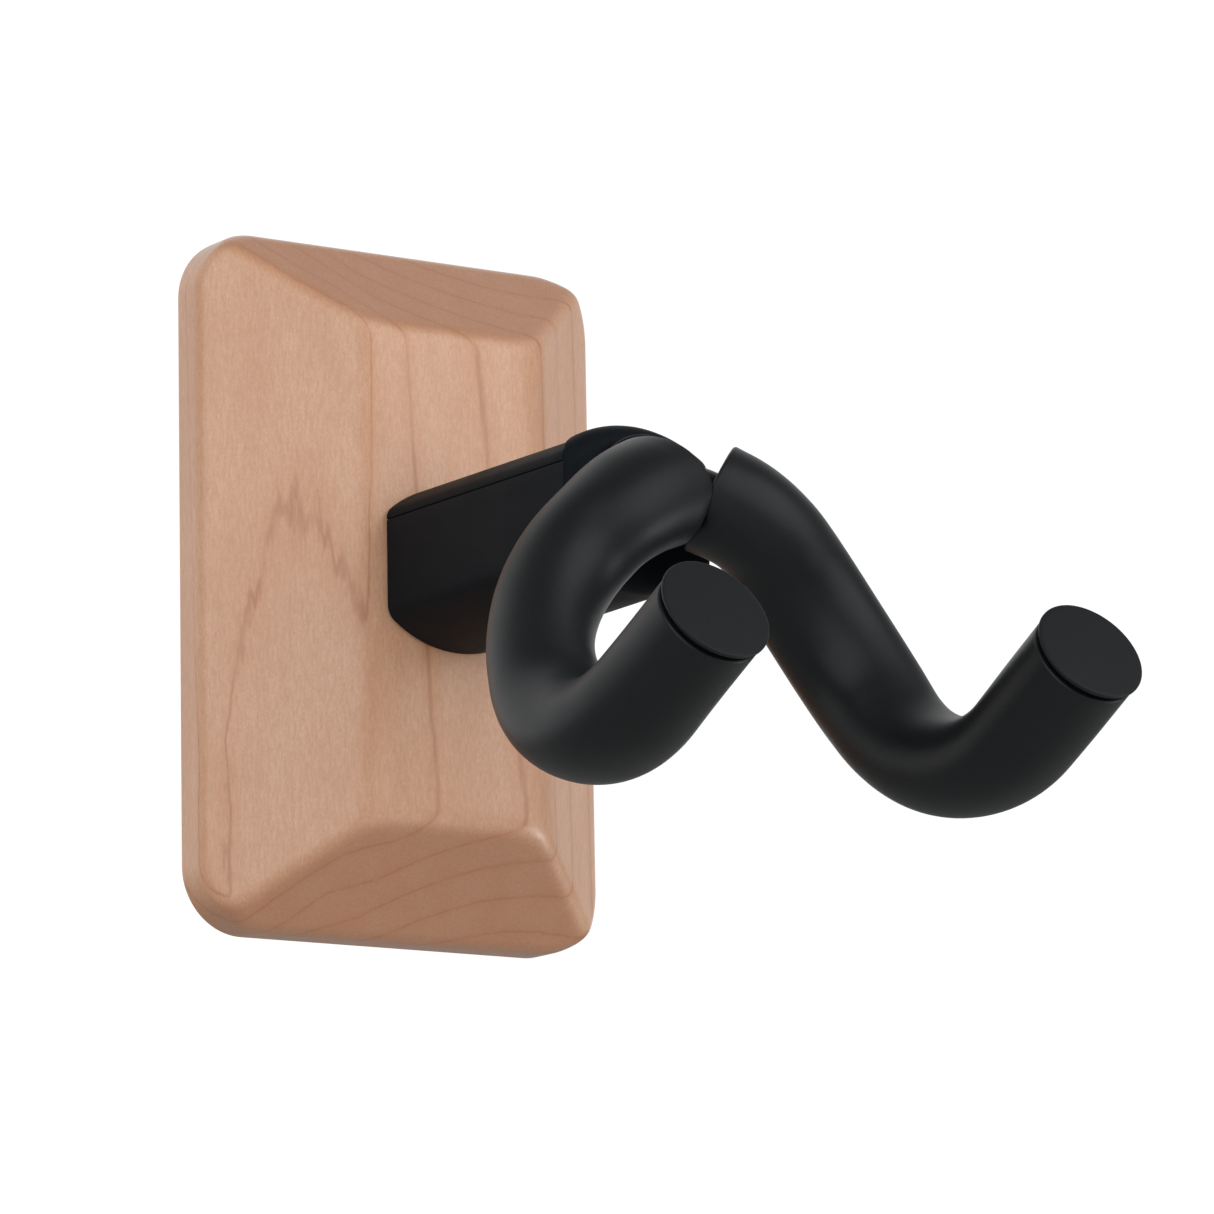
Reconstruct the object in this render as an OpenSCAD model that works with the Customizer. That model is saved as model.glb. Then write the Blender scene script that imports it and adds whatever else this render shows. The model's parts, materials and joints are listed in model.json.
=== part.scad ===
// Wall guitar hanger: a bevelled maple block, a housed steel support and a swivelling padded yoke.
// The wall is the plane y = 0, the hanger stands out towards -Y, and +Z is up.
// The origin is the middle of the back face, on the wall.

/* [Block] */
// Width of the maple block
block_w = 84; // [78:1:96]
// Height of the maple block
block_h = 127; // [122:1:150]
// Distance from the wall to the block's flat front
block_d = 26.5; // [25:0.5:32]
// Width of the flat front
flat_w = 34; // [32:1:40]
// Height of the flat front
flat_h = 88; // [76:1:96]
// Depth of the upright edge behind the bevels
edge_d = 7; // [6:0.5:8]
// Corner radius of the block, seen from the front
corner_r = 12; // [6:1:14]

/* [Back plate] */
// Width of the steel back plate
plate_w = 50; // [48:1:56]
// Height of the steel back plate
plate_h = 104; // [102:1:108]
// Thickness of the steel back plate
plate_t = 2.5; // [2:0.5:3]
// Distance between the two keyholes
keyhole_pitch = 64; // [60:1:70]
// Diameter of a keyhole's round entry
entry_d = 10; // [9:0.5:11]
// Width of a keyhole's slot
slot_w = 5; // [4.5:0.5:6]
// Travel from the entry's centre to the slot's end
slot_travel = 9; // [8:0.5:10]

/* [Housing] */
// Width of the housing
housing_w = 30; // [30:0.5:34]
// Distance from the wall to the housing's front
housing_front = 84.5; // [80:0.5:92]
// Wall thickness of the shell and of the top cover
skin = 2.4; // [2:0.1:2.4]
// Height of the seam between the shell and the top cover
seam_z = 8.9; // [8.7:0.1:9.1]

/* [Swivel] */
// Height of the swivel axis
pivot_z = 4; // [3.5:0.5:4]
// Diameter of the hub's disc
hub_d = 20.6; // [20.4:0.2:21.4]
// Diameter of the pivot stud
stud_d = 8; // [7:0.5:8]
// Largest swivel to either side, in degrees
swivel_max = 40; // [20:5:45]

/* [Yoke] */
// Diameter of the steel rod
rod_d = 9; // [8:0.5:9]
// Outer diameter of the soft sleeves
sleeve_d = 19; // [17:0.5:19]
// Distance of the sleeve's inner end from the middle, along the rod
sleeve_start = 5.9; // [5.7:0.1:6.5]

/* [Hidden] */
$fn = 64;
past = 1;

// Bevel corners of the block
edge_round = 4;
crest_round = 14;
crest_steps = 8;

// Wood screws through the back plate: [x, z] of each
screw_places = [for (x = [-19, 19], z = [-44, 0, 44]) [x, z]];
screw_head_r = 3.8;
screw_shank_r = 1.8;
screw_len = 16;
screw_tip = 3;
screw_fit = 0.1;
recess_w = 0.8;
head_pocket_d = 7;
head_pocket_play = 2;

// Section of the housing: two large arcs between straight sides
crown_r = 22.4;
crown_z = -6.35;
belly_r = 22;
belly_z = 8;
hood_proud = 0.8;
front_wall = 3;
hood_r = 20;
hood_back = 8.3;
cover_gap = 0.25;

// Tongues of the top cover that hold it inside the shell
tongue_y = [-36, -62];
tongue_len = 10;
tongue_t = 0.8;
tongue_below = 2;
tongue_above = 1.4;
tongue_gap = 0.05;

// Steel channel inside the housing
channel_w = 23;
channel_t = 2;
channel_low = -7;
channel_high = 8;
channel_clear = 0.3;
end_plate_t = 3;
end_plate_gap = 0.3;
shell_screw_y = [-46, -64];
shell_screw_r = 2;
shell_head_r = 3.4;
shell_head_t = 1.6;
shell_head_gap = 0.2;
shell_screw_tail = 2;
head_recess = 2;
boss_r = 5;

// Swivel parts, one behind the other from the hub to the nut
stud_r = stud_d / 2;
run_gap = 0.05;
washer_t = 0.8;
washer_r = 6.9;
hub_disc_t = 1.6;
hub_nose_r = 5.2;
hub_nose_short = 2;
bushing_r = 6;
flange_r = 8.5;
flange_t = 1.2;
spring_r = 7.2;
spring_t = 1.3;
nut_across = 13;
nut_t = 8;
pin_r = 1.25;
pin_orbit = 8.6;
pin_set = 1.6;
stud_set = 4;
stud_tail = 1.5;
pin_short = 0.6;
slot_clear = 0.15;

belly_low = belly_z - belly_r;
front_y = -housing_front;
wall_back_y = front_y + front_wall;
plate_back_y = wall_back_y + end_plate_t;
flange_back_y = plate_back_y + flange_t;
spring_front_y = flange_back_y + run_gap;
nut_front_y = spring_front_y + spring_t;
hub_back_y = front_y - washer_t - run_gap;
disc_front_y = hub_back_y - hub_disc_t;

// Centreline of one arm of the yoke, from the hub to the face of the end cap
rod_r = rod_d / 2;
sleeve_r = sleeve_d / 2;
bore_clear = 0.08;
bend_lap = 0.2;
bend_swell = 0.02;
rod_y = front_y - 11;
arm = [
  [0, rod_y, pivot_z],
  [14, rod_y - 4, pivot_z - 5.8],
  [31.5, rod_y, pivot_z - 24],
  [38.5, rod_y - 24, pivot_z - 59],
  [37.6, rod_y - 64, pivot_z - 36]
];
arm_bends = [22, 34, 26];
apex_bend = 11;

// Slanted cut at the sleeve's inner end: direction across the cut, and the length it takes off.
// Under the hub the two sleeves press flat against each other, but for a hair's gap.
mitre = [0.753, -0.47, -0.461];
mitre_len = 3;
sleeve_gap = 0.1;
mitre_block = 40;

// End caps
cap_r = 9.8;
cap_t = 0.9;
cap_edge = 0.3;
groove_r = 8.6;
groove_t = 1.2;
plug_len = 9;
plug_gap = 0.2;
plug_reach = cap_t + groove_t;

function unit(v) = v / norm(v);
function mirrored(p) = [-p[0], p[1], p[2]];
function turn(a, b, c) = acos(unit(b - a) * unit(c - b));
function trim(a, b, c, r) = r * tan(turn(a, b, c) / 2);
function step_from(a, b, d) = a + unit(b - a) * d;

// Points of an arc of radius r that rounds the flat corner b between a and c
function corner(a, b, c, r, steps) =
  let (
    start = step_from(b, a, r * tan(turn(a, b, c) / 2)),
    side = cross([b[0] - a[0], b[1] - a[1]], [c[0] - b[0], c[1] - b[1]]) > 0 ? 1 : -1,
    d = unit(b - a),
    centre = start + side * r * [-d[1], d[0]],
    full = turn(a, b, c)
  )
  [for (i = [0 : steps])
    let (t = side * full * i / steps, v = start - centre)
    centre + [v[0] * cos(t) - v[1] * sin(t), v[0] * sin(t) + v[1] * cos(t)]];

// Puts its children at o, with their own axes along x, y and z
module placed(o, x, y, z) {
  multmatrix([
    [x[0], y[0], z[0], o[0]],
    [x[1], y[1], z[1], o[1]],
    [x[2], y[2], z[2], o[2]],
    [0, 0, 0, 1]
  ]) children();
}

// A round bar from a to b
module bar(a, b, r) {
  w = unit(b - a);
  u = unit(cross(w, abs(w[2]) < 0.9 ? [0, 0, 1] : [1, 0, 0]));
  placed(a, u, cross(w, u), w) cylinder(r = r, h = norm(b - a));
}

// A round bend that rounds the corner b between a and c
module bend(a, b, c, bend_r, r) {
  d = unit(b - a);
  start = step_from(b, a, trim(a, b, c, bend_r));
  n = unit(cross(d, c - b));
  inward = cross(n, d);
  placed(start + inward * bend_r, -inward, d, cross(-inward, d))
    rotate_extrude(angle = turn(a, b, c)) translate([bend_r, 0]) circle(r = r);
}

// A round bar along the points, with a bend at each inner point.
// The straights reach a little way into the bends, which are a hair thicker.
module bent_bar(points, bends, r) {
  last = len(points) - 1;
  cut = [for (i = [0 : last])
    i == 0 || i == last ? 0 : trim(points[i - 1], points[i], points[i + 1], bends[i - 1]) - bend_lap];
  for (i = [1 : last]) {
    a = step_from(points[i - 1], points[i], cut[i - 1]);
    b = step_from(points[i], points[i - 1], cut[i]);
    bar(a, b, r);
  }
  for (i = [1 : last - 1]) bend(points[i - 1], points[i], points[i + 1], bends[i - 1], r + bend_swell);
}

// Turns a shape drawn along +Z so that it points from the wall outwards, from y = at
module outwards(x, at, z) translate([x, at, z]) rotate([90, 0, 0]) children();

// A flat shape in x and z, filled from y = far to y = near
module slab(far, near) translate([0, near, 0]) rotate([90, 0, 0]) linear_extrude(near - far) children();

// Half outline of a bevelled section: half width out, depth up
function bevel_half(half, flat) = concat(
  [[half, 0]],
  corner([half, 0], [half, edge_d], [flat, block_d], edge_round, 4),
  corner([half, edge_d], [flat, block_d], [0, block_d], crest_round, crest_steps)
);

module bevel_section(half, flat) {
  right = bevel_half(half, flat);
  left = [for (i = [len(right) - 1 : -1 : 0]) [-right[i][0], right[i][1]]];
  polygon(concat(right, left));
}

module rounded_plate(w, h, r) {
  square([w - 2 * r, h], center = true);
  square([w, h - 2 * r], center = true);
  for (x = [-1, 1], z = [-1, 1]) translate([x * (w / 2 - r), z * (h / 2 - r)]) circle(r = r);
}

module channel_hole() {
  low = channel_low - channel_clear;
  high = channel_high + channel_clear;
  translate([-channel_w / 2 - channel_clear, low]) square([channel_w + 2 * channel_clear, high - low]);
}

module keyhole() {
  circle(r = entry_d / 2);
  translate([0, slot_travel - slot_w / 2]) circle(r = slot_w / 2);
  translate([-slot_w / 2, 0]) square([slot_w, slot_travel - slot_w / 2]);
}

module keyholes() for (z = [-1, 1]) translate([0, z * keyhole_pitch / 2 - slot_travel / 2]) keyhole();

// Room behind a keyhole for the head of the wall screw
module head_pockets() {
  pocket_w = entry_d + head_pocket_play;
  pocket_h = entry_d + slot_travel + head_pocket_play;
  for (z = [-1, 1]) translate([-pocket_w / 2, z * keyhole_pitch / 2 - pocket_h / 2])
    square([pocket_w, pocket_h]);
}

module mounting_block() {
  color("burlywood") difference() {
    intersection() {
      translate([0, 0, -block_h / 2]) linear_extrude(block_h)
        mirror([0, 1]) bevel_section(block_w / 2, flat_w / 2);
      translate([-block_w / 2, 0, 0]) rotate([90, 0, 90]) linear_extrude(block_w)
        rotate(90) bevel_section(block_h / 2, flat_h / 2);
      slab(-block_d, 0) rounded_plate(block_w, block_h, corner_r);
    }
    slab(-plate_t, past) square([plate_w, plate_h], center = true);
    slab(-block_d - past, past) channel_hole();
    slab(-plate_t - head_pocket_d, past) head_pockets();
    for (p = screw_places) outwards(p[0], 0, p[1]) cylinder(r = screw_shank_r, h = screw_len);
  }
}

// Outline of a countersunk wood screw, with its head's face at height 0
module screw_outline(grow) {
  polygon([
    [0, 0], [screw_head_r + grow, 0], [screw_shank_r + grow, screw_head_r - screw_shank_r],
    [screw_shank_r + grow, screw_len - screw_tip], [0, screw_len]
  ]);
}

// Cross-shaped driver recess in a screw head whose face is at height 0
module cross_recess(reach) {
  for (a = [0, 90]) rotate([0, 0, a]) translate([-reach, -recess_w / 2, -past])
    cube([2 * reach, recess_w, past + 1]);
}

module back_plate() {
  color("silver") difference() {
    slab(-plate_t, 0) square([plate_w, plate_h], center = true);
    slab(-plate_t - past, past) keyholes();
    for (p = screw_places) outwards(p[0], 0, p[1]) rotate_extrude() screw_outline(screw_fit);
  }
}

module back_plate_screws() {
  color("gray") for (p = screw_places) outwards(p[0], 0, p[1]) difference() {
    rotate_extrude() screw_outline(0);
    cross_recess(2);
  }
}

module support_channel() {
  color("dimgray") difference() {
    slab(plate_back_y, -plate_t) translate([-channel_w / 2, channel_low])
      square([channel_w, channel_high - channel_low]);
    slab(plate_back_y - past, -plate_t + past)
      translate([-channel_w / 2 + channel_t, channel_low + channel_t])
      square([channel_w - 2 * channel_t, channel_high - channel_low]);
    for (y = shell_screw_y) translate([0, y, channel_low - past])
      cylinder(r = shell_screw_r, h = channel_t + 2 * past);
  }
}

// Section of the housing, made smaller by inset; proud raises the crown only
module housing_section(inset, proud) {
  half = housing_w / 2 - inset;
  intersection() {
    translate([0, crown_z]) circle(r = crown_r - inset + proud, $fn = 128);
    translate([0, belly_z]) circle(r = belly_r - inset, $fn = 128);
    translate([-half, -housing_w]) square([2 * half, 2 * housing_w]);
  }
}

module end_plate() {
  color("dimgray") difference() {
    slab(wall_back_y, plate_back_y) intersection() {
      housing_section(skin + end_plate_gap, 0);
      translate([-channel_w / 2, channel_low]) square([channel_w, housing_w]);
    }
    outwards(0, plate_back_y + past, pivot_z) cylinder(r = bushing_r, h = end_plate_t + 2 * past);
  }
}

// Everything above the seam
module above_seam()
  translate([-housing_w, front_y - past, seam_z]) cube([2 * housing_w, housing_front, housing_w]);

module hood_column(r)
  translate([0, front_y + hood_back - hood_r, 0]) cylinder(r = r, h = housing_w, $fn = 128);

// Arc-shaped slot in the housing's front in which the stop pin travels
module stop_slot() {
  reach = swivel_max + asin((pin_r + slot_clear) / pin_orbit);
  outwards(0, wall_back_y + past, pivot_z) rotate([0, 0, -90 - reach]) rotate_extrude(angle = 2 * reach)
    translate([pin_orbit - pin_r - slot_clear, 0]) square([2 * (pin_r + slot_clear), front_wall + 2 * past]);
}

module housing_shell() {
  color([0.12, 0.13, 0.14]) difference() {
    union() {
      difference() {
        slab(front_y, -block_d) housing_section(0, 0);
        above_seam();
      }
      intersection() {
        slab(front_y, -block_d) housing_section(0, hood_proud);
        hood_column(hood_r);
        above_seam();
      }
    }
    difference() {
      slab(wall_back_y, -block_d + past) housing_section(skin, 0);
      for (y = shell_screw_y) translate([0, y, channel_low - housing_w]) cylinder(r = boss_r, h = housing_w);
    }
    outwards(0, wall_back_y + past, pivot_z) cylinder(r = bushing_r, h = front_wall + 2 * past);
    stop_slot();
    for (y = shell_screw_y) translate([0, y, belly_low - past]) {
      cylinder(r = shell_screw_r, h = housing_w);
      cylinder(r = shell_head_r + shell_head_gap, h = head_recess + past);
    }
  }
}

module top_cover() {
  tongue_x = housing_w / 2 - skin - tongue_gap - tongue_t / 2;
  color([0.14, 0.15, 0.16]) union() {
    difference() {
      intersection() {
        slab(front_y, -block_d) housing_section(0, 0);
        above_seam();
      }
      slab(front_y - past, past) housing_section(skin, 0);
      translate([0, 0, -past]) hood_column(hood_r + cover_gap);
    }
    for (x = [-tongue_x, tongue_x], y = tongue_y)
      translate([x - tongue_t / 2, y - tongue_len / 2, seam_z - tongue_below])
        cube([tongue_t, tongue_len, tongue_below + tongue_above]);
  }
}

module shell_screws() {
  low = belly_low + head_recess - shell_head_t;
  color("gray") for (y = shell_screw_y) translate([0, y, low]) difference() {
    union() {
      cylinder(r = shell_head_r, h = shell_head_t);
      cylinder(r = shell_screw_r, h = channel_low + channel_t + shell_screw_tail - low);
    }
    cross_recess(1.8);
  }
}

module pivot_bushing() {
  color("tan") difference() {
    union() {
      outwards(0, plate_back_y, pivot_z) cylinder(r = bushing_r, h = plate_back_y - front_y);
      outwards(0, flange_back_y, pivot_z) cylinder(r = flange_r, h = flange_t);
    }
    outwards(0, flange_back_y + past, pivot_z) cylinder(r = stud_r + run_gap, h = housing_front);
  }
}

module thrust_washer() {
  color("ivory") outwards(0, front_y, pivot_z) difference() {
    cylinder(r = washer_r, h = washer_t);
    translate([0, 0, -past]) cylinder(r = stud_r + run_gap, h = washer_t + 2 * past);
  }
}

module swivel_hub() {
  nose_tip = -rod_y - hub_nose_short;
  color([0.1, 0.11, 0.12]) difference() {
    union() {
      outwards(0, hub_back_y, pivot_z) cylinder(r = hub_d / 2, h = hub_disc_t);
      outwards(0, disc_front_y, pivot_z) cylinder(r = hub_nose_r, h = nose_tip + disc_front_y);
    }
    outwards(0, hub_back_y + past, pivot_z) cylinder(r = stud_r, h = past + stud_set);
    outwards(0, hub_back_y + past, pivot_z - pin_orbit) cylinder(r = pin_r, h = past + pin_set);
    yoke_bar();
  }
}

module stop_pin() {
  reach = washer_t + run_gap + front_wall - pin_short;
  color("silver") outwards(0, hub_back_y + reach, pivot_z - pin_orbit)
    cylinder(r = pin_r, h = reach + pin_set);
}

module pivot_stud() {
  back_y = nut_front_y + nut_t + stud_tail;
  color("silver") outwards(0, back_y, pivot_z) cylinder(r = stud_r, h = back_y - hub_back_y + stud_set);
}

module spring_washer() {
  color("gray") outwards(0, nut_front_y, pivot_z) difference() {
    cylinder(r = spring_r, h = spring_t);
    translate([0, 0, -past]) cylinder(r = stud_r, h = spring_t + 2 * past);
  }
}

module lock_nut() {
  color("gray") outwards(0, nut_front_y + nut_t, pivot_z) difference() {
    cylinder(d = nut_across / cos(30), h = nut_t, $fn = 6);
    translate([0, 0, -past]) cylinder(r = stud_r, h = nut_t + 2 * past);
  }
}

// The yoke's steel rod, from one arm's end to the other
module yoke_bar() {
  end = step_from(arm[4], arm[3], plug_len + plug_reach);
  half = [arm[1], arm[2], arm[3], end];
  points = concat([for (i = [3 : -1 : 0]) mirrored(half[i])], [arm[0]], half);
  bends = [arm_bends[2], arm_bends[1], arm_bends[0], apex_bend, arm_bends[0], arm_bends[1], arm_bends[2]];
  bent_bar(points, bends, rod_r);
}

module yoke_rod() color("dimgray") yoke_bar();

// Everything inwards of the slanted cut through the point o
module before_mitre(o) {
  w = -unit(mitre);
  u = unit(cross(w, [0, 0, 1]));
  placed(o, u, cross(w, u), w) translate([-mitre_block / 2, -mitre_block / 2, 0]) cube(mitre_block);
}

module sleeve() {
  cut = step_from(arm[0], arm[1], sleeve_start);
  inner = step_from(arm[0], arm[1], sleeve_start - mitre_len);
  outer = step_from(arm[4], arm[3], plug_reach);
  difference() {
    bent_bar([inner, arm[1], arm[2], arm[3], outer], arm_bends, sleeve_r);
    bent_bar(arm, arm_bends, rod_r + bore_clear);
    before_mitre(cut);
    translate([sleeve_gap / 2 - mitre_block, outer[1], -mitre_block / 2])
      cube([mitre_block, -outer[1], mitre_block]);
  }
}

module sleeve_right() color([0.11, 0.13, 0.14]) sleeve();
module sleeve_left() color([0.11, 0.13, 0.14]) mirror([1, 0, 0]) sleeve();

module end_cap() {
  plug_end = plug_reach + plug_len - plug_gap;
  w = unit(arm[4] - arm[3]);
  u = unit(cross(w, [0, 0, 1]));
  placed(arm[4], u, cross(w, u), w) rotate_extrude() polygon([
    [0, 0], [cap_r - cap_edge, 0], [cap_r, -cap_edge], [cap_r, -cap_t + cap_edge], [cap_r - cap_edge, -cap_t],
    [groove_r, -cap_t], [groove_r, -plug_reach], [rod_r, -plug_reach], [rod_r, -plug_end],
    [0, -plug_end]
  ]);
}

module end_cap_right() color([0.13, 0.14, 0.15]) end_cap();
module end_cap_left() color([0.13, 0.14, 0.15]) mirror([1, 0, 0]) end_cap();

mounting_block();
back_plate();
back_plate_screws();
support_channel();
end_plate();
housing_shell();
top_cover();
shell_screws();
pivot_bushing();
thrust_washer();
swivel_hub();
pivot_stud();
spring_washer();
lock_nut();
stop_pin();
yoke_rod();
sleeve_left();
sleeve_right();
end_cap_left();
end_cap_right();
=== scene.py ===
"""Looks for the wall guitar hanger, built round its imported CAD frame.

Everything is in metres in the CAD's own frame: +Z up, the wall at y = 0, the hanger standing out towards -Y.
"""

import json
import math

import bmesh
import bpy
from mathutils import Matrix, Vector


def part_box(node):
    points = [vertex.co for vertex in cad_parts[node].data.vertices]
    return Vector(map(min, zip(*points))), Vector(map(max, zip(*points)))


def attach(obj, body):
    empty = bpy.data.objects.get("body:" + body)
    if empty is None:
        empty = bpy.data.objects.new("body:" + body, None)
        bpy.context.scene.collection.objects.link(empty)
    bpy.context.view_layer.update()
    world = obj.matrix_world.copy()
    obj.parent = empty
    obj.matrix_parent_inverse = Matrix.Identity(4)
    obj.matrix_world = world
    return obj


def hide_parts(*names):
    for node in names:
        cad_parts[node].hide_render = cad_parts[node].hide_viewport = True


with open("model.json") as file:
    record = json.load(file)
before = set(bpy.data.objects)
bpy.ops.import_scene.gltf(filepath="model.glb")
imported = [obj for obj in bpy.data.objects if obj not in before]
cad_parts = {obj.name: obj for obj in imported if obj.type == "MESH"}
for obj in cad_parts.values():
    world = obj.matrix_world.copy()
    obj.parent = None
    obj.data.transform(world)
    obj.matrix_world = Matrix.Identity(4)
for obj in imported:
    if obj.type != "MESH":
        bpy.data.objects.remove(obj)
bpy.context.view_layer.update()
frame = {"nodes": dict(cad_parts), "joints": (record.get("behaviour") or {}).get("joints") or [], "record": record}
MM = 0.001

# ------------------------------------------------------------------ places taken from the frame

block_low, block_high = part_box("mounting_block")
shell_low, shell_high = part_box("housing_shell")
hub_low, hub_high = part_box("swivel_hub")
plate_low, plate_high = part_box("back_plate")
channel_low, channel_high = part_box("support_channel")
swivel = Vector(frame["joints"][0]["pos_m"])

# Block: flat front, bevels and roundings
BLOCK_W = (block_high.x - block_low.x) / 2
BLOCK_H = (block_high.z - block_low.z) / 2
BLOCK_D = block_high.y - block_low.y
FLAT_W, FLAT_H = 17 * MM, 44 * MM
EDGE_D, CORNER_R, EDGE_R = 7 * MM, 12 * MM, 4 * MM
SIDE_CREST, END_CREST, HIP = 4.4 * MM, 2.4 * MM, 2.6 * MM
KEYHOLE_PITCH = 64 * MM
KEYHOLE_POCKET = Vector((6, 9.5, 10.5)) * MM

# Housing: section of two wide arcs between straight sides, split at the seam
HALF = (shell_high.x - shell_low.x) / 2
FRONT = -shell_low.y
BACK = -shell_high.y
SEAM = 8.9 * MM
SKIN = 2.4 * MM
CROWN_R, CROWN_Z = 22.4 * MM, -6.35 * MM
BELLY_R, BELLY_Z = 22 * MM, 8 * MM
CROWN_EASE, BELLY_EASE = 2.5 * MM, 3.5 * MM
FRONT_EASE, HOOD_EASE, BELLY_RISE = 2 * MM, 4 * MM, 1.1 * MM
HOOD_PROUD = shell_high.z - CROWN_R - CROWN_Z
HOOD_R, HOOD_BACK = 20 * MM, 8.3 * MM
SHELL_SCREW_Y = [-46 * MM, -64 * MM]

# Yoke: corner points of the right arm's centreline and the radius of the bend at each inner one
ARM = [
    Vector((0, -95.5, 4)) * MM,
    Vector((14, -99.5, -1.8)) * MM,
    Vector((31.5, -95.5, -20)) * MM,
    Vector((38.5, -119.5, -55)) * MM,
    Vector((37.6, -159.5, -32)) * MM,
]
ARM_BENDS = [22 * MM, 34 * MM, 26 * MM]
APEX_BEND, ROD_R = 11 * MM, 4.5 * MM
SLEEVE_R, SLEEVE_START, SLEEVE_BORE, SLEEVE_GAP = 9.5 * MM, 5.9 * MM, 4.6 * MM, 0.1 * MM
MITRE = Vector((0.753, -0.47, -0.461)).normalized()
MITRE_FADE = 9 * MM
PLUG_LEN = 9 * MM
OVAL, BEND_SQUASH, BEND_SPREAD = 0.1, [0.3, 0.75, 0.95], 6 * MM
BULGE, BULGE_REACH = 0.5 * MM, 30 * MM
CAP_R, CAP_T, GROOVE_R, GROOVE_T = 9.8 * MM, 0.9 * MM, 8.6 * MM, 1.2 * MM


# ------------------------------------------------------------------ mesh helpers

def arc(cx, cz, r, start, end, steps):
    """Points (x, z) on an arc, angles in radians."""
    angles = [start + (end - start) * i / steps for i in range(steps + 1)]
    return [(cx + r * math.cos(a), cz + r * math.sin(a)) for a in angles]


def grid_faces(rows, cols, close_rows=False, close_cols=True):
    """Quads of a grid of rows x cols points, closed either way."""
    faces = []
    for i in range(rows if close_rows else rows - 1):
        for j in range(cols if close_cols else cols - 1):
            k, n = (i + 1) % rows, (j + 1) % cols
            faces.append((i * cols + j, i * cols + n, k * cols + n, k * cols + j))
    return faces


def make_mesh(name, verts, faces):
    """An object from points and faces, its faces turned outwards."""
    mesh = bpy.data.meshes.new(name)
    mesh.from_pydata([tuple(v) for v in verts], [], faces)
    bm = bmesh.new()
    bm.from_mesh(mesh)
    bmesh.ops.recalc_face_normals(bm, faces=bm.faces)
    bm.to_mesh(mesh)
    bm.free()
    obj = bpy.data.objects.new(name, mesh)
    bpy.context.scene.collection.objects.link(obj)
    return obj


def finish_piece(obj, body, slot, *nodes):
    """Smooths a piece, gives it its slot's material and sets it on its body in place of CAD nodes."""
    mesh = obj.data
    mesh.polygons.foreach_set("use_smooth", [True] * len(mesh.polygons))
    mesh.set_sharp_from_angle(angle=math.radians(40))
    mesh.materials.clear()
    mesh.materials.append(MATERIALS[slot])
    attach(obj, body)
    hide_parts(*nodes)
    return obj


def box_object(low, high):
    """A box between two corners, used to carve."""
    corners = [(x, y, z) for x in (low[0], high[0]) for y in (low[1], high[1]) for z in (low[2], high[2])]
    faces = [(0, 1, 3, 2), (4, 6, 7, 5), (0, 4, 5, 1), (2, 3, 7, 6), (0, 2, 6, 4), (1, 5, 7, 3)]
    return make_mesh("cutter", corners, faces)


def drum_object(centre, radius, height):
    """An upright cylinder from its centre of height, used to carve."""
    steps = 64
    circle = arc(centre[0], centre[1], radius, 0, 2 * math.pi, steps)[:-1]
    verts = [(x, y, centre[2] + dz) for dz in (-height / 2, height / 2) for x, y in circle]
    faces = grid_faces(2, steps) + [tuple(range(steps)), tuple(range(steps, 2 * steps))]
    return make_mesh("cutter", verts, faces)


def carve(obj, cutters):
    """Takes the cutters' volumes out of obj."""
    for cutter in cutters:
        modifier = obj.modifiers.new("carve", "BOOLEAN")
        modifier.operation = "DIFFERENCE"
        modifier.solver = "EXACT"
        modifier.object = cutter
        graph = bpy.context.evaluated_depsgraph_get()
        cut = bpy.data.meshes.new_from_object(obj.evaluated_get(graph))
        obj.modifiers.clear()
        obj.data = cut
        bpy.data.objects.remove(cutter)


def lathe(name, profile, place, steps=96):
    """A turned solid: profile points are (radius, height) from axis to axis; place puts +Z along the axis."""
    verts, faces = [place @ Vector((0, 0, profile[0][1])), place @ Vector((0, 0, profile[-1][1]))], []
    rings = profile[1:-1]
    for r, h in rings:
        verts += [place @ Vector((x, y, h)) for x, y in arc(0, 0, r, 0, 2 * math.pi, steps)[:-1]]
    faces += [tuple(2 + i for i in face) for face in grid_faces(len(rings), steps)]
    last = 2 + (len(rings) - 1) * steps
    for j in range(steps):
        n = (j + 1) % steps
        faces.append((0, 2 + n, 2 + j))
        faces.append((1, last + j, last + n))
    return make_mesh(name, verts, faces)


def eased(points, ease, steps=4):
    """A (radius, height) profile with each inner corner rounded by ease."""
    made = [points[0]]
    for a, b, c in zip(points, points[1:], points[2:]):
        a, b, c = Vector(a), Vector(b), Vector(c)
        reach = min(ease, (b - a).length * 0.45, (c - b).length * 0.45)
        p, q = b + (a - b).normalized() * reach, b + (c - b).normalized() * reach
        for i in range(steps + 1):
            t = i / steps
            made.append(tuple(p * (1 - t) ** 2 + b * 2 * t * (1 - t) + q * t**2))
    return made + [points[-1]]


# ------------------------------------------------------------------ materials

def node(tree, kind, inputs=None, **props):
    """Adds a shader node; each input is a value or a socket to link."""
    made = tree.nodes.new(kind)
    for key, value in props.items():
        setattr(made, key, value)
    for key, value in (inputs or {}).items():
        if isinstance(value, bpy.types.NodeSocket):
            tree.links.new(value, made.inputs[key])
        else:
            made.inputs[key].default_value = value
    return made


def math_node(tree, operation, a, b=0.0):
    return node(tree, "ShaderNodeMath", {0: a, 1: b}, operation=operation).outputs[0]


def centred(tree, value, width):
    """value from 0 to 1 turned into a shift of that width, with its middle at zero."""
    return math_node(tree, "MULTIPLY", math_node(tree, "SUBTRACT", value, 0.5), width)


def ramp(tree, value, low, high, to_low, to_high):
    """value taken evenly from low..high to to_low..to_high, and held outside."""
    return node(tree, "ShaderNodeMapRange", {0: value, 1: low, 2: high, 3: to_low, 4: to_high}).outputs[0]


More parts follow.
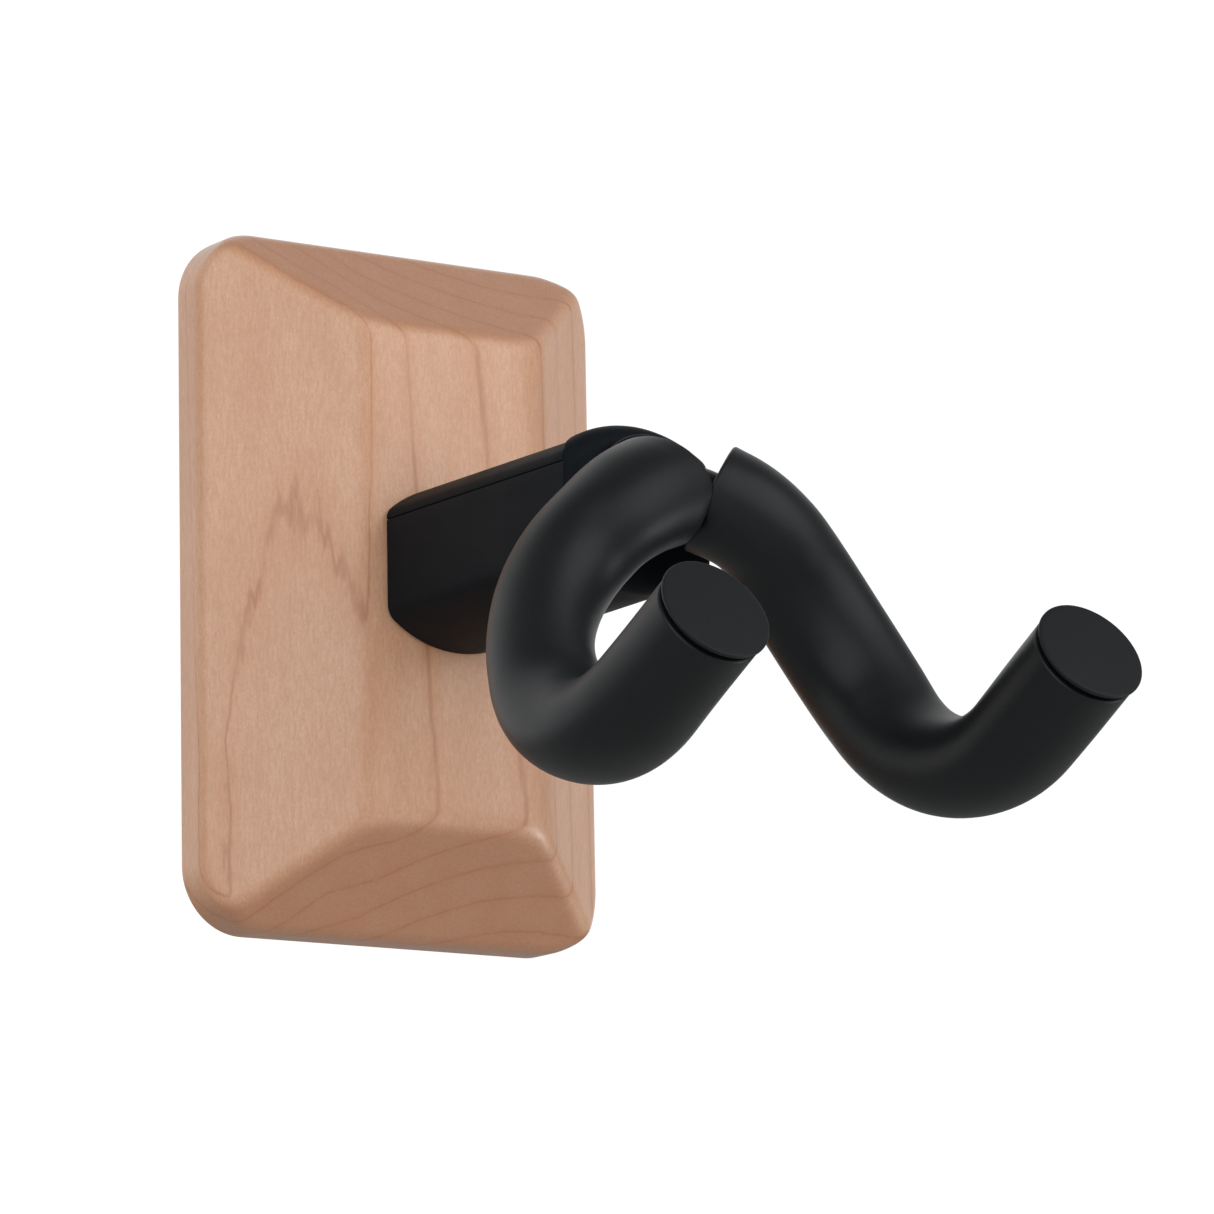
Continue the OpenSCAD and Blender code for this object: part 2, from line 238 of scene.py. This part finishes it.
def remap(tree, value, low, high, to_low=0.0, to_high=1.0):
    """value taken smoothly from low..high to to_low..to_high, and held outside."""
    inputs = {"Value": value, "From Min": low, "From Max": high, "To Min": to_low, "To Max": to_high}
    return node(tree, "ShaderNodeMapRange", inputs, interpolation_type="SMOOTHSTEP").outputs["Result"]


def blend(tree, share, a, b):
    """Colour a, going to colour b as share rises."""
    inputs = {"Factor": share, "A": a, "B": b}
    made = node(tree, "ShaderNodeMix", data_type="RGBA")
    for socket in made.inputs:
        if socket.name in inputs and socket.type == ("VALUE" if socket.name == "Factor" else "RGBA"):
            value = inputs[socket.name]
            if isinstance(value, bpy.types.NodeSocket):
                tree.links.new(value, socket)
            else:
                socket.default_value = value
    return next(s for s in made.outputs if s.type == "RGBA")


def millimetres(tree, stretch=(1, 1, 1)):
    """Object coordinates in millimetres, stretched along each axis."""
    place = node(tree, "ShaderNodeTexCoord").outputs["Object"]
    scale = [1000 * s for s in stretch]
    return node(tree, "ShaderNodeVectorMath", {0: place, 1: scale}, operation="MULTIPLY").outputs[0]


def noise(tree, place, scale, detail=3.0, roughness=0.55):
    inputs = {"Vector": place, "Scale": scale, "Detail": detail, "Roughness": roughness}
    return node(tree, "ShaderNodeTexNoise", inputs).outputs["Fac"]


def new_material(name, rough, **fixed):
    """A node material with a Principled shader; fixed are the values that are the same all over."""
    material = bpy.data.materials.new(name)
    material.use_nodes = True
    tree = material.node_tree
    shader = tree.nodes["Principled BSDF"]
    shader.inputs["Roughness"].default_value = rough
    for key, value in fixed.items():
        shader.inputs[key.replace("_", " ")].default_value = value
    return material, tree, shader


def add_bump(tree, shader, height, depth, strength=1.0):
    """Raises the surface by height (0 to 1) times depth, in metres."""
    inputs = {"Height": height, "Distance": depth, "Strength": strength}
    tree.links.new(node(tree, "ShaderNodeBump", inputs).outputs["Normal"], shader.inputs["Normal"])


# Growth rings of the maple: radii in millimetres round an upright axis behind the block. The rings lean
# over most of it. On the left bevel they widen downwards instead, so that one of them shows as an arch.
PITH_X, PITH_D, LEAN = 26.7, -52.2, 0.025
RINGS, LINE_WIDTH = [52.0, 58.0, 64.0, 69.5, 75.0, 79.9, 85.1, 96.5, 102.5], 0.3
ARCH_RING, ARCH_WIDTH = 89.0, 0.09
ARCH_TOP, ARCH_LOW, ARCH_RISE, ARCH_DROP = 64, -30, 1.42, 0.9
ARCH_SIDE, LEAN_SIDE = -20, -12
PALE, WARM = (0.73, 0.43, 0.285, 1), (0.68, 0.375, 0.235, 1)
FLECK, SPECKLE = (0.54, 0.27, 0.13, 1), (0.50, 0.24, 0.11, 1)
# The last colour is the end grain's darker, redder tone, and also painted shade on the top and bottom bevels.
LINE_SHADE, LINE, END_GRAIN_AND_SHADE = (0.56, 0.22, 0.08, 1), (0.38, 0.14, 0.06, 1), (0.38, 0.135, 0.05, 1)


def maple_material():
    """Satin-lacquered maple: fine upright flecks, soft mottling, thin brown growth lines, and top and bottom
    bevels darkened partly as end grain and partly by painted shade.
    """
    material, tree, shader = new_material("maple", 0.45, Coat_Weight=0.6, Coat_Roughness=0.28)
    place = millimetres(tree)
    grain = millimetres(tree, (2.4, 2.4, 0.42))
    long_grain = millimetres(tree, (1, 1, 0.12))
    split = node(tree, "ShaderNodeSeparateXYZ", {"Vector": place})
    x, y, z = (split.outputs[axis] for axis in "XYZ")
    across = math_node(tree, "SUBTRACT", x, PITH_X)
    outwards = math_node(tree, "SUBTRACT", math_node(tree, "MULTIPLY", y, -1), PITH_D)
    across, outwards = (math_node(tree, "POWER", side, 2) for side in (across, outwards))
    radius = math_node(tree, "SQRT", math_node(tree, "ADD", across, outwards))
    wander = centred(tree, noise(tree, long_grain, 0.16, 3, 0.5), 0.45)
    ragged = centred(tree, noise(tree, grain, 0.15, 3, 0.6), 0.55)
    arch = ramp(tree, z, ARCH_TOP, ARCH_LOW, ARCH_RISE, -ARCH_DROP)
    lean = math_node(tree, "MULTIPLY", z, -LEAN)
    sway = ramp(tree, x, ARCH_SIDE, LEAN_SIDE, arch, lean)
    for shift in (wander, ragged, sway):
        radius = math_node(tree, "ADD", radius, shift)

    lines, shade = 0.0, 0.0
    for ring, width in [(ring, LINE_WIDTH) for ring in RINGS] + [(ARCH_RING, ARCH_WIDTH)]:
        off = math_node(tree, "ABSOLUTE", math_node(tree, "SUBTRACT", radius, ring))
        lines = math_node(tree, "MAXIMUM", remap(tree, off, 0.0, width, 1.0, 0.0), lines)
        shade = math_node(tree, "MAXIMUM", remap(tree, off, 0.0, 4 * width, 1.0, 0.0), shade)
    broken = remap(tree, noise(tree, long_grain, 0.35, 2), 0.3, 0.6, 0.35, 1.0)
    lines = math_node(tree, "MULTIPLY", lines, broken)

    fleck = remap(tree, noise(tree, grain, 1.0, 2, 0.5), 0.3, 0.7)
    mottle = remap(tree, noise(tree, millimetres(tree, (0.16, 0.16, 0.05)), 1.0, 3), 0.3, 0.7)
    colour = blend(tree, mottle, WARM, PALE)
    speckle = remap(tree, noise(tree, millimetres(tree, (3, 3, 1.8)), 1.0, 3, 0.7), 0.3, 0.7)
    # Faces that look up or down, the top and bottom bevels, are darkened: in part as end grain, in part as painted
    # shade.
    normal = node(tree, "ShaderNodeNewGeometry").outputs["Normal"]
    upward = node(tree, "ShaderNodeSeparateXYZ", {"Vector": normal}).outputs["Z"]
    end_grain_and_shade = remap(tree, math_node(tree, "ABSOLUTE", upward), 0.25, 0.8)
    layers = [(fleck, 0.38, FLECK), (speckle, 0.4, SPECKLE), (shade, 0.2, LINE_SHADE), (lines, 0.55, LINE)]
    for share, strength, tint in layers + [(end_grain_and_shade, 0.55, END_GRAIN_AND_SHADE)]:
        colour = blend(tree, math_node(tree, "MULTIPLY", share, strength), colour, tint)
    tree.links.new(colour, shader.inputs["Base Color"])
    tree.links.new(remap(tree, fleck, 0, 1, 0.42, 0.52), shader.inputs["Roughness"])
    add_bump(tree, shader, fleck, 0.00002, 0.5)
    return material


def grained_material(name, colour, rough, grain, depth, specular):
    """A moulded, coated or foamed surface: fine grain, and colour and gloss that vary a little."""
    material, tree, shader = new_material(name, rough, Specular_IOR_Level=specular)
    place = millimetres(tree)
    fine = noise(tree, place, 1 / grain, 4, 0.6)
    cloud = noise(tree, place, 0.05, 3)
    darker = tuple(0.8 * c for c in colour) + (1,)
    lighter = tuple(1.2 * c for c in colour) + (1,)
    tree.links.new(blend(tree, remap(tree, fine, 0.3, 0.7), darker, lighter), shader.inputs["Base Color"])
    tree.links.new(remap(tree, cloud, 0.3, 0.7, rough * 0.92, rough * 1.08), shader.inputs["Roughness"])
    add_bump(tree, shader, fine, depth)
    return material


def metal_material(name, colour, rough, brushed):
    """Bright metal with fine lines along one axis."""
    material, tree, shader = new_material(name, rough, Metallic=1.0)
    fine = noise(tree, millimetres(tree, brushed), 1.0, 3, 0.6)
    darker = tuple(0.85 * c for c in colour) + (1,)
    tree.links.new(blend(tree, fine, darker, (*colour, 1)), shader.inputs["Base Color"])
    tree.links.new(remap(tree, fine, 0.3, 0.7, rough * 0.8, rough * 1.25), shader.inputs["Roughness"])
    add_bump(tree, shader, fine, 0.000008)
    return material


# Each grained material: colour, roughness, its grain's size in mm and depth in metres, specular level
GRAINED = {
    "black_steel": ((0.007, 0.0076, 0.008), 0.4, 0.35, 0.00001, 0.4),
    "black_plastic": ((0.0040, 0.0062, 0.0090), 0.6, 0.22, 0.00001, 0.1),
    "black_cast": ((0.0035, 0.0045, 0.0055), 0.5, 0.5, 0.00001, 0.15),
    "nylon": ((0.62, 0.60, 0.53), 0.45, 0.3, 0.000005, 0.5),
    "sleeve_rubber": ((0.0045, 0.0064, 0.0076), 0.43, 0.25, 0.000012, 0.27),
    "cap_plastic": ((0.0066, 0.0083, 0.0095), 0.5, 0.18, 0.000012, 0.22),
}
MATERIALS = {name: grained_material(name, *values) for name, values in GRAINED.items()}
MATERIALS["maple"] = maple_material()
MATERIALS["zinc_steel"] = metal_material("zinc_steel", (0.62, 0.62, 0.6), 0.32, (6, 6, 0.3))


# ------------------------------------------------------------------ block

def soft_min(a, b, width):
    """The smaller of a and b, blended round over a width."""
    overlap = max(width - abs(a - b), 0.0) / width
    return min(a, b) - overlap * overlap * width / 4


def block_surface(x, z, inset):
    """Height of the block's front above the wall, at a point this far inside its outline."""
    rise_x = (BLOCK_D - EDGE_D) / (BLOCK_W - FLAT_W)
    rise_z = (BLOCK_D - EDGE_D) / (BLOCK_H - FLAT_H)
    side = soft_min(EDGE_D + (BLOCK_W - abs(x)) * rise_x, BLOCK_D, SIDE_CREST)
    end = soft_min(EDGE_D + (BLOCK_H - abs(z)) * rise_z, BLOCK_D, END_CREST)
    height = soft_min(side, end, HIP)
    slope = math.hypot(1, rise_x)
    if inset < EDGE_R * (1 - rise_x / slope):
        bevel = rise_x * (inset - EDGE_R) + EDGE_R * slope
        height -= bevel - math.sqrt(EDGE_R**2 - (EDGE_R - inset) ** 2)
    return height


def rounded_rectangle(half_w, half_h, radius, step):
    """Points (x, z) round a rectangle with rounded corners, about step apart, and no point twice."""
    turns = round(radius * math.pi / 2 / step)
    corners = [(1, 1), (-1, 1), (-1, -1), (1, -1)]
    arcs = []
    for i, (sx, sz) in enumerate(corners):
        start = i * math.pi / 2
        centre = (sx * (half_w - radius), sz * (half_h - radius))
        arcs.append(arc(*centre, radius, start, start + math.pi / 2, turns))
    points = []
    for this, following in zip(arcs, arcs[1:] + arcs[:1]):
        points += this
        a, b = Vector(this[-1]), Vector(following[0])
        count = round((b - a).length / step)
        points += [tuple(a.lerp(b, k / count)) for k in range(1, count)]
    return points


def maple_block():
    """The bevelled block, with the pocket for the back plate, the channel's hole and room for screw heads."""
    step = 0.8 * MM
    outline = rounded_rectangle(BLOCK_W, BLOCK_H, CORNER_R, step)
    count = len(outline)
    insets = [i * MM for i in (0, 0.03, 0.1, 0.22, 0.38, 0.58, 0.82, 1.1, 1.5, 2.1)]
    while insets[-1] < BLOCK_W - step:
        insets.append(insets[-1] + step)
    spine = BLOCK_H - BLOCK_W
    verts = [(x, 0, z) for x, z in outline]
    for inset in insets:
        share = 1 - inset / BLOCK_W
        for x, z in outline:
            centre = z * spine / BLOCK_H
            px, pz = x * share, centre + (z - centre) * share
            verts.append((px, -block_surface(px, pz, inset), pz))
    faces = grid_faces(len(insets) + 1, count)
    faces.append(tuple(range(count)))
    faces.append(tuple(range(len(insets) * count, (len(insets) + 1) * count)))
    block = make_mesh("maple_block", verts, faces)
    past = 1 * MM
    gap = 0.3 * MM
    cutters = [box_object((plate_low.x, plate_low.y, plate_low.z), (plate_high.x, past, plate_high.z))]
    low = (channel_low.x - gap, block_low.y - past, channel_low.z - gap)
    cutters.append(box_object(low, (channel_high.x + gap, past, channel_high.z + gap)))
    for z in (-KEYHOLE_PITCH / 2, KEYHOLE_PITCH / 2):
        half_w, depth, half_h = KEYHOLE_POCKET
        cutters.append(box_object((-half_w, -depth, z - half_h), (half_w, past, z + half_h)))
    carve(block, cutters)
    return finish_piece(block, "hanger", "maple", "mounting_block")


# ------------------------------------------------------------------ housing

def half_section(inset, proud):
    """Points (x, z) of the housing's section from the bottom's middle up the right side to the top's middle,
    and the indexes of its three points at the seam."""
    half = HALF - inset
    belly_r, crown_r = BELLY_R - inset, CROWN_R - inset + proud
    low_ease = max(BELLY_EASE - inset, 0.05 * MM)
    top_ease = max(CROWN_EASE - inset, 0.05 * MM)
    low_z = BELLY_Z - math.sqrt((belly_r - low_ease) ** 2 - (half - low_ease) ** 2)
    top_z = CROWN_Z + math.sqrt((crown_r - top_ease) ** 2 - (half - top_ease) ** 2)
    low_angle = math.atan2(low_z - BELLY_Z, half - low_ease)
    top_angle = math.atan2(top_z - CROWN_Z, half - top_ease)
    points = arc(0, BELLY_Z, belly_r, -math.pi / 2, low_angle, 20)
    points += arc(half - low_ease, low_z, low_ease, low_angle, 0, 6)[1:]
    side = len(points)
    points += [(half, low_z + (SEAM - low_z) * k / 6) for k in range(1, 6)]
    seam = len(points)
    points += [(half, SEAM - 0.25 * MM), (half, SEAM - 0.07 * MM), (half, SEAM), (half, SEAM + 0.01 * MM)]
    points += arc(half - top_ease, top_z, top_ease, 0, top_angle, 5)
    points += arc(0, CROWN_Z, crown_r, top_angle, math.pi / 2, 28)[1:]
    return points, seam


def ease_at(z):
    """Radius of the rounding at the housing's front edge, which grows over the hood."""
    share = min(max((z - SEAM) / (shell_high.z - SEAM), 0.0), 1.0)
    return FRONT_EASE + (HOOD_EASE - FRONT_EASE) * math.sqrt(share)


def eased_front(y, ease):
    """How far the front edge, rounded by ease, draws the surface in at depth y."""
    into = min(max(ease - FRONT - y, 0.0), ease)
    return ease - math.sqrt(ease**2 - into**2)


def hood_line(x):
    """Depth y of the hood's arc-shaped back edge at width x."""
    return -FRONT + HOOD_BACK - HOOD_R + math.sqrt(HOOD_R**2 - min(abs(x), HALF) ** 2)


def raised(x, y, z):
    """A point of the housing, lifted a little towards the front where it is on the belly."""
    share = min(max(z / (BELLY_Z - BELLY_R), 0.0), 1.0) * (y + BACK) / (BACK - FRONT)
    return (x, y, z + BELLY_RISE * share)


def close_ring(points):
    """A half outline and its mirror image, as one closed ring."""
    return points + [(-x, y, z) for x, y, z in reversed(points[1:-1])]


def housing_shell():
    """The shell: belly, sides, rounded front and the hood, with a lowered bed for the top cover."""
    plain, seam = half_section(0, 0)
    sections = {}

    def section_point(k, inset, proud):
        key = (round(inset / MM, 4), proud)
        if key not in sections:
            sections[key] = half_section(inset, proud)[0]
        return sections[key][k]

    bed, stations = 2.1 * MM, 10
    ledge = {seam + 1: 0.08 * MM, seam + 2: 0.3 * MM}
    edge = 0.25 * MM
    columns = []
    for k, (x, z) in enumerate(plain):
        above = k > seam + 2
        ease = ease_at(z)
        line = hood_line(x)
        sunk = bed if above else ledge.get(k, 0.0)
        proud = HOOD_PROUD if above else 0.0
        lip = edge if above else 0.0
        turn = math.asin(min(max((ease - FRONT - line + lip) / ease, 0.0), 1.0))
        column = [(-BACK, sunk, 0.0), (line + 0.3 * MM, sunk, 0.0), (line, sunk, 0.0)]
        here = eased_front(line, ease)
        column += [(line, here + lip, proud), (line - 0.3 * lip, here + 0.3 * lip, proud)]
        for s in range(stations + 1):
            a = turn + (math.pi / 2 - turn) * s / stations
            column.append((-FRONT + ease * (1 - math.sin(a)), ease * (1 - math.cos(a)), proud))
        made = []
        for y, inset, lift in column:
            px, pz = section_point(k, inset, lift)
            made.append(raised(px, y, pz))
        columns.append(made)
    rows = [close_ring(list(row)) for row in zip(*columns)]
    count = len(rows[0])
    faces = grid_faces(len(rows), count)
    faces += [tuple(range(count)), tuple(range((len(rows) - 1) * count, len(rows) * count))]
    shell = make_mesh("housing_body", [p for row in rows for p in row], faces)
    recess = 2 * MM
    carve(shell, [drum_object((0, y, shell_low.z), 3.6 * MM, 2 * recess) for y in SHELL_SCREW_Y])
    return finish_piece(shell, "hanger", "black_plastic", "housing_shell")


def top_cover():
    """The cover over the housing's top, with eased edges along the seam and the hood."""
    gap, ease, near, thickness, stations = 0.12 * MM, 0.2 * MM, 0.06 * MM, 1.9 * MM, 14
    plain, seam = half_section(0, 0)
    first = seam + 3
    rounding = ((0.0, ease), (near, near), (ease, 0.0))
    rim = [(SEAM + gap / 2 + up, drawn_in, first) for up, drawn_in in rounding]
    edges = rim + [(None, 0.0, k) for k in range(first + 2, len(plain))]

    def column(height, drawn_in, k):
        x, z = plain[k]
        line = hood_line(x) + gap
        depths = [-BACK + (line + ease + BACK) * s / stations for s in range(stations)]
        outer = [(y, 0.0) for y in depths] + [(line + ease, 0.0), (line + near, near), (line, ease)]
        made = []
        for y, inset in outer + [(line, thickness), (-BACK, thickness)]:
            inset = min(inset + drawn_in + eased_front(y, ease_at(z)), thickness)
            px, pz = half_section(inset, 0)[0][k]
            made.append((px, y, pz if height is None else height))
        return made

    right = [column(*edge) for edge in edges]
    strips = right + [[(-x, y, z) for x, y, z in strip] for strip in reversed(right[:-1])]
    rows = len(strips[0])
    faces = grid_faces(len(strips), rows)
    faces += [tuple(range(rows)), tuple(range((len(strips) - 1) * rows, len(strips) * rows))]
    cover = make_mesh("housing_cover", [p for strip in strips for p in strip], faces)
    return finish_piece(cover, "hanger", "black_plastic", "top_cover")


# ------------------------------------------------------------------ yoke

def rounded_path(points, bends, squash, step):
    """Points about step apart along the corner points, with an arc at each inner one. With each comes
    a vector towards the middle of its bend, as long as the bend's squash and zero on a straight."""
    path = []
    straight = Vector((0, 0, 0))

    def line(a, b):
        count = max(1, round((b - a).length / step))
        path.extend((a.lerp(b, i / count), straight) for i in range(count))

    here = points[0]
    for before, corner, after, radius, press in zip(points, points[1:], points[2:], bends, squash):
        u, v = (corner - before).normalized(), (after - corner).normalized()
        angle = u.angle(v)
        reach = radius * math.tan(angle / 2)
        start = corner - u * reach
        axis = u.cross(v).normalized()
        centre = start + axis.cross(u) * radius
        line(here, start)
        count = round(radius * angle / step)
        for i in range(count):
            spoke = Matrix.Rotation(angle * i / count, 3, axis) @ (start - centre)
            path.append((centre + spoke, -spoke.normalized() * press))
        here = corner + v * reach
    line(here, points[-1])
    path.append((points[-1], straight))
    return path


def sweep_frames(points, bends, squash, step):
    """Along a rounded path: each point, its direction, a steady sideways vector and its softened bend
    vector."""
    path = rounded_path(points, bends, squash, step)
    inward = [bend for _, bend in path]
    width = round(BEND_SPREAD / step)
    for _ in range(2):
        near = [inward[max(0, i - width) : i + width + 1] for i in range(len(inward))]
        inward = [sum(group, Vector((0, 0, 0))) / len(group) for group in near]
    frames, across = [], Vector((0, 0, 1))
    for i, (place, _) in enumerate(path):
        along = (path[min(i + 1, len(path) - 1)][0] - path[max(i - 1, 0)][0]).normalized()
        across = (across - along * across.dot(along)).normalized()
        frames.append((place, along, across, inward[i]))
    return frames


def sweep_ring(frame_here, radius, shift=0.0, oval=0.0, around=72, slant=0.0):
    """One ring of a swept tube, moved along it by shift. In a bend it is flatter towards the bend's middle.
    A slant of 1 lays it in the plane of the mitre, and 0 leaves it square to the tube."""
    place, along, across, bend = frame_here
    up = along.cross(across)
    ring = []
    for k in range(around):
        a = 2 * math.pi * k / around
        out = across * math.cos(a) + up * math.sin(a)
        lean = bend.length * (1 - 2 * out.dot(bend.normalized()) ** 2) if bend.length > 0 else 0.0
        spoke = out * radius * (1 + oval * lean)
        ring.append(place + along * (shift - slant * spoke.dot(MITRE) / along.dot(MITRE)) + spoke)
    return ring


def foam_sleeve(side, sign):
    """A soft foam tube on the rod. It goes slightly oval where it bends, and its cut ends are eased."""
    ease, lip, turns = 0.6 * MM, 0.5 * MM, 6
    start = ARM[0] + (ARM[1] - ARM[0]).normalized() * SLEEVE_START
    end = ARM[4] - (ARM[4] - ARM[3]).normalized() * (CAP_T + GROOVE_T)
    frames = sweep_frames([start, ARM[1], ARM[2], ARM[3], end], ARM_BENDS, BEND_SQUASH, 1 * MM)
    slants = [max(0.0, 1 - i * MM / MITRE_FADE) for i in range(len(frames))]
    bulges = [BULGE * max(0.0, 1 - i * MM / BULGE_REACH) ** 2 for i in range(len(frames))]
    rings = []
    for k in range(turns + 1):
        a = math.pi / 2 * k / turns
        radius, shift = SLEEVE_R + BULGE - ease + ease * math.sin(a), ease * (1 - math.cos(a))
        rings.append(sweep_ring(frames[0], radius, shift, OVAL, slant=1.0))
    for i in range(2, len(frames) - 1):
        rings.append(sweep_ring(frames[i], SLEEVE_R + bulges[i], 0, OVAL, slant=slants[i]))
    for k in range(turns + 1):
        a = math.pi / 2 * k / turns
        radius, shift = SLEEVE_R - lip + lip * math.cos(a), lip * (math.sin(a) - 1)
        rings.append(sweep_ring(frames[-1], radius, shift, OVAL))
    rings += [sweep_ring(frames[i], SLEEVE_BORE, slant=slants[i]) for i in reversed(range(len(frames)))]
    verts = [(sign * max(p.x, SLEEVE_GAP / 2), p.y, p.z) for ring in rings for p in ring]
    sleeve = make_mesh(f"foam_sleeve_{side}", verts, grid_faces(len(rings), len(rings[0]), close_rows=True))
    finish_piece(sleeve, "yoke", "sleeve_rubber", f"sleeve_{side}")


def bent_rod():
    """The steel rod, in one piece from arm to arm."""
    end = ARM[4] - (ARM[4] - ARM[3]).normalized() * (CAP_T + GROOVE_T + PLUG_LEN)
    half = ARM[1:4] + [end]
    mirrored = [Vector((-p.x, p.y, p.z)) for p in reversed(half)]
    bends = ARM_BENDS[::-1] + [APEX_BEND] + ARM_BENDS
    frames = sweep_frames(mirrored + ARM[:1] + half, bends, [0] * len(bends), 0.8 * MM)
    rings = [sweep_ring(here, ROD_R, around=48) for here in frames]
    count = len(rings[0])
    faces = grid_faces(len(rings), count)
    faces += [tuple(range(count)), tuple(range((len(rings) - 1) * count, len(rings) * count))]
    rod = make_mesh("bent_rod", [p for ring in rings for p in ring], faces)
    finish_piece(rod, "yoke", "black_steel", "yoke_rod")


def end_cap(side, sign):
    """A cap with a slightly crowned, eased face over a narrow neck."""
    along = (ARM[4] - ARM[3]).normalized()
    across = along.cross(Vector((0, 0, 1))).normalized()
    place = Matrix.Translation(ARM[4]) @ Matrix((across, along.cross(across), along)).transposed().to_4x4()
    place = Matrix.Diagonal((sign, 1, 1, 1)) @ place
    crown, neck = 0.2 * MM, CAP_T + GROOVE_T
    stem_r, stem_end = 4.4 * MM, -neck - 8.8 * MM
    corners = [(CAP_R * 0.9, -0.81 * crown), (CAP_R, -crown), (CAP_R, -CAP_T), (GROOVE_R, -CAP_T)]
    corners += [(GROOVE_R, -neck), (stem_r, -neck), (stem_r, stem_end), (0, stem_end)]
    face = [(CAP_R * k / 10, -crown * (k / 10) ** 2) for k in range(9)]
    cap = lathe(f"cap_{side}", face + eased(corners, 0.35 * MM), place)
    finish_piece(cap, "yoke", "cap_plastic", f"end_cap_{side}")


def cast_hub():
    """The hub: a disc against the housing and a nose that blends up to the rod."""
    place = Matrix.Translation((swivel.x, 0, swivel.z)) @ Matrix.Rotation(math.pi / 2, 4, "X")
    back, tip = -hub_high.y, -hub_low.y
    disc_r, disc_t, nose_r = 10.3 * MM, 1.6 * MM, 5.2 * MM
    face, root = back + disc_t, 0.6 * MM
    profile = eased([(0, back), (disc_r, back), (disc_r, face), (nose_r, face)], 0.7 * MM)
    profile += eased([(nose_r + root, face), (nose_r, face + root), (nose_r, tip)], 0.4 * MM)[1:]
    profile.append((0, tip))
    hub = lathe("cast_hub", profile, place)
    finish_piece(hub, "yoke", "black_cast", "swivel_hub")


# ------------------------------------------------------------------ CAD nodes that stay

def dress_nodes():
    """Gives every CAD node its slot's material."""
    for part in frame["record"]["subparts"]:
        obj = frame["nodes"][part["node"]]
        obj.data.materials.clear()
        obj.data.materials.append(MATERIALS[part["material_slot"]])


# ------------------------------------------------------------------ stage, light and camera

# Each soft box: name, place, width, height and brightness
WORLD_FRONT, WORLD_BACK = 0.22, 1.05
LIGHTS = [
    ("left_box", (-1.05, -0.95, 0.30), 1.6, 1.5, 1.5),
    ("right_box", (0.62, -1.25, 0.55), 1.4, 1.4, 1.7),
    ("low_box", (0.82, -0.46, -0.34), 0.2, 0.3, 9.0),
]


def area_light(name, place, aim, width, height, radiance):
    """A soft box at place that faces aim, with the same brightness all over."""
    light = bpy.data.lights.new(name, "AREA")
    light.shape = "RECTANGLE"
    light.size, light.size_y = width, height
    light.energy = radiance * math.pi * width * height
    obj = bpy.data.objects.new(name, light)
    obj.location = place
    obj.rotation_euler = (Vector(aim) - Vector(place)).to_track_quat("-Z", "Y").to_euler()
    bpy.context.scene.collection.objects.link(obj)


def studio():
    """A white tent behind the hanger, dimmer in front, with two soft boxes and a pale floor."""
    scene = bpy.context.scene
    scene.view_settings.view_transform = "Standard"
    world = bpy.data.worlds.new("studio")
    scene.world = world
    world.use_nodes = True
    tree = world.node_tree
    direction = node(tree, "ShaderNodeTexCoord").outputs["Generated"]
    depth = node(tree, "ShaderNodeSeparateXYZ", {"Vector": direction}).outputs["Y"]
    light = remap(tree, depth, 0.0, 0.7, WORLD_FRONT, WORLD_BACK)
    tree.nodes["Background"].inputs["Color"].default_value = (1, 1, 1, 1)
    tree.links.new(light, tree.nodes["Background"].inputs["Strength"])
    material, paper, shader = new_material("floor_paper", 0.9)
    pale = blend(paper, noise(paper, millimetres(paper), 0.02), (0.50, 0.50, 0.49, 1), (0.54, 0.54, 0.53, 1))
    paper.links.new(pale, shader.inputs["Base Color"])
    reach, floor_z = 6.0, -0.45
    corners = [(-reach, -reach), (reach, -reach), (reach, reach), (-reach, reach)]
    floor = make_mesh("floor", [(x, y, floor_z) for x, y in corners], [(0, 1, 2, 3)])
    floor.data.materials.append(material)
    for name, place, width, height, radiance in LIGHTS:
        area_light(name, place, (0, -0.05, 0), width, height, radiance)


def camera():
    """A long lens from the left front, a little below the hanger."""
    azimuth, elevation, roll = math.radians(-34.26), math.radians(-11.02), math.radians(-1.1)
    distance, target = 1.2217, Vector((50, 0, 3.7)) * MM
    level = math.cos(elevation)
    back = Vector((math.sin(azimuth) * level, -math.cos(azimuth) * level, math.sin(elevation)))
    right = Vector((math.cos(azimuth), math.sin(azimuth), 0))
    right = Matrix.Rotation(roll, 3, back) @ right
    data = bpy.data.cameras.new("camera")
    data.lens, data.sensor_width = 194.6, 36
    data.clip_start, data.clip_end = 0.05, 50
    obj = bpy.data.objects.new("camera", data)
    turn = Matrix((right, back.cross(right), back)).transposed().to_4x4()
    obj.matrix_world = Matrix.Translation(target + back * distance) @ turn
    bpy.context.scene.collection.objects.link(obj)
    bpy.context.scene.camera = obj


dress_nodes()
maple_block()
housing_shell()
top_cover()
cast_hub()
bent_rod()
for side, sign in (("left", -1), ("right", 1)):
    foam_sleeve(side, sign)
    end_cap(side, sign)
studio()
camera()
